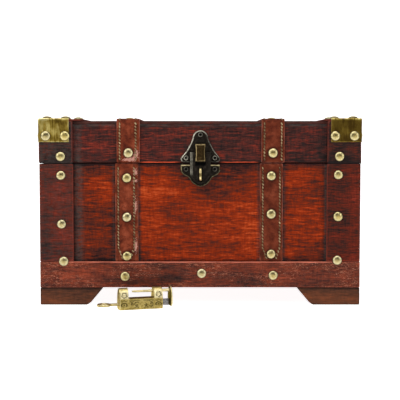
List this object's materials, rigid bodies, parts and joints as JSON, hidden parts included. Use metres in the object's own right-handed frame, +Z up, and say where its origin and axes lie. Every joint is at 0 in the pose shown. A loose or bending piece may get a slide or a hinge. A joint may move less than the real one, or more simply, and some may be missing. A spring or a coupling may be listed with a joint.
{
  "type": "trunk",
  "caption": "Small wooden keepsake trunk: leather straps, brass corner plates, bracket feet, hinged lid, hasp flap over a staple, and its padlock lying open in front.",
  "frame": {"origin": "on the floor, under the middle of the trunk and the padlock in front of it taken together", "axes": "+X to the right seen from the front, +Y to the back, +Z up; the front faces -Y"},
  "size_m": [0.3068, 0.2423, 0.177],
  "materials": {
    "panel_wood": "red-brown stain under worn satin lacquer, dark towards the edges",
    "trim_wood": "dark mahogany stain, satin lacquer, worn edges",
    "foot_wood": "very dark brown stain, satin",
    "leather": "red-brown strap leather with pale stitching, scuffed edges",
    "brass": "aged yellow brass, brushed and streaked",
    "old_bronze": "dark antique bronze with rims rubbed bright",
    "lock_brass": "aged cast brass with dark hollows",
    "steel": "grey spring steel"
  },
  "bodies": {
    "trunk_case": {"bottom_board": "panel_wood", "front_panel": "panel_wood", "back_panel": "panel_wood", "left_panel": "panel_wood", "right_panel": "panel_wood", "front_rail": "trim_wood", "back_rail": "trim_wood", "left_rail": "trim_wood", "right_rail": "trim_wood", "corner_post_front_left": "trim_wood", "foot_front_left": "foot_wood", "case_strap_front_left": "leather", "corner_post_front_right": "trim_wood", "foot_front_right": "foot_wood", "case_strap_front_right": "leather", "corner_post_back_left": "trim_wood", "foot_back_left": "foot_wood", "case_strap_back_left": "leather", "corner_post_back_right": "trim_wood", "foot_back_right": "foot_wood", "case_strap_back_right": "leather", "hasp_lower_plate": "old_bronze", "staple": "brass", "hasp_screw_lower_left": "old_bronze", "hasp_screw_lower_right": "old_bronze", "hinge_case_leaf_left": "brass", "hinge_case_leaf_right": "brass", "hinge_pin_left": "brass", "hinge_pin_right": "brass"},
    "lid": {"lid_top_board": "panel_wood", "lid_front_board": "panel_wood", "lid_back_board": "panel_wood", "lid_left_board": "panel_wood", "lid_right_board": "panel_wood", "lid_corner_strip_front_left": "trim_wood", "corner_plate_front_left": "brass", "lid_corner_strip_front_right": "trim_wood", "corner_plate_front_right": "brass", "lid_corner_strip_back_left": "trim_wood", "corner_plate_back_left": "brass", "lid_corner_strip_back_right": "trim_wood", "corner_plate_back_right": "brass", "top_batten_left": "trim_wood", "lid_strap_left": "leather", "hinge_lid_leaf_left": "brass", "hasp_screw_upper_left": "old_bronze", "top_batten_right": "trim_wood", "lid_strap_right": "leather", "hinge_lid_leaf_right": "brass", "hasp_screw_upper_right": "old_bronze", "hasp_upper_plate": "old_bronze", "hasp_pin": "old_bronze", "hasp_screw_top": "old_bronze"},
    "hasp_flap": {"hasp_flap": "old_bronze"},
    "padlock": {"padlock_case": "lock_brass"},
    "padlock_bolt": {"padlock_bolt": "lock_brass", "padlock_spring": "steel"},
    "padlock_key": {"padlock_key": "lock_brass"}
  },
  "joints": [
    {"name": "lid_hinge", "type": "hinge", "parent": "trunk_case", "child": "lid", "pos_m": [0, 0.11777, 0.1332], "axis": [-1, 0, 0], "range_deg": [0, 105]},
    {"name": "flap_hinge", "type": "hinge", "parent": "lid", "child": "hasp_flap", "pos_m": [0.0004, -0.08193, 0.1419], "axis": [-1, 0, 0], "range_deg": [0, 150]},
    {"name": "padlock_lift", "type": "slide", "parent": "trunk_case", "child": "padlock", "axis": [0, 0, 1], "range_m": [0, 0.15]},
    {"name": "bolt_slide", "type": "slide", "parent": "padlock", "child": "padlock_bolt", "axis": [0.9563, 0.2924, 0], "range_m": [-0.0072, 0.025]},
    {"name": "key_slide", "type": "slide", "parent": "padlock", "child": "padlock_key", "axis": [-0.9563, -0.2924, 0], "range_m": [0, 0.02]}
  ]
}
